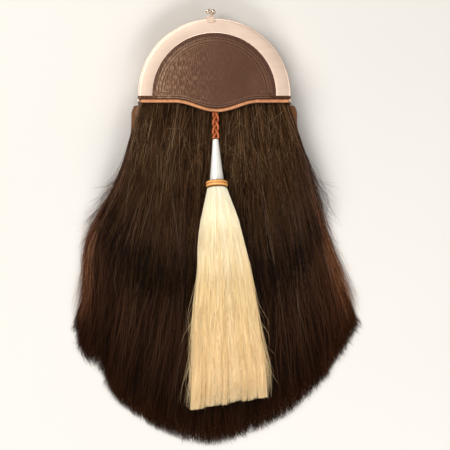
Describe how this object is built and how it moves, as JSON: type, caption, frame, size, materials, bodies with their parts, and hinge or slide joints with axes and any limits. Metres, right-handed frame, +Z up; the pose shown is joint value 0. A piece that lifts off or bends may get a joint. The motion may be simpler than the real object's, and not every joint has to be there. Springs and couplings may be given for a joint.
{
  "type": "sporran pouch",
  "caption": "Worn leather belt pouch with a metal half-ring kiss-lock frame, a long dark hair front and one cream hair tassel on a short plait, lying on its back.",
  "frame": {"origin": "centre of the metal half-ring, on the flat outer face of the belt tunnel at the back", "axes": "+X across to the right as it lies, +Y up to the clasp, +Z up from the surface that it lies on, out of the front"},
  "size_m": [0.2792, 0.4277, 0.0583],
  "materials": {
    "frame_metal": "satin",
    "lock_metal": "polished",
    "cone_metal": "polished",
    "panel_leather": "grained",
    "pouch_leather": "smooth",
    "piping_leather": "smooth",
    "collar_leather": "smooth",
    "braid_leather": "waxed",
    "dark_hair": "horse hair",
    "cream_hair": "horse hair"
  },
  "bodies": {
    "root": {"front_frame": "frame_metal", "back_frame": "frame_metal", "hinge_rivet_left": "lock_metal", "hinge_rivet_right": "lock_metal", "front_clasp": "lock_metal", "back_clasp": "lock_metal", "pouch_body": "pouch_leather", "front_panel": "panel_leather", "piping": "piping_leather", "hair_skirt": "dark_hair", "braid_strand_1": "braid_leather", "braid_strand_2": "braid_leather", "braid_strand_3": "braid_leather", "tassel_cone": "cone_metal", "tassel_ring": "collar_leather", "tassel_hair": "cream_hair", "belt_loop": "pouch_leather"}
  },
  "joints": []
}
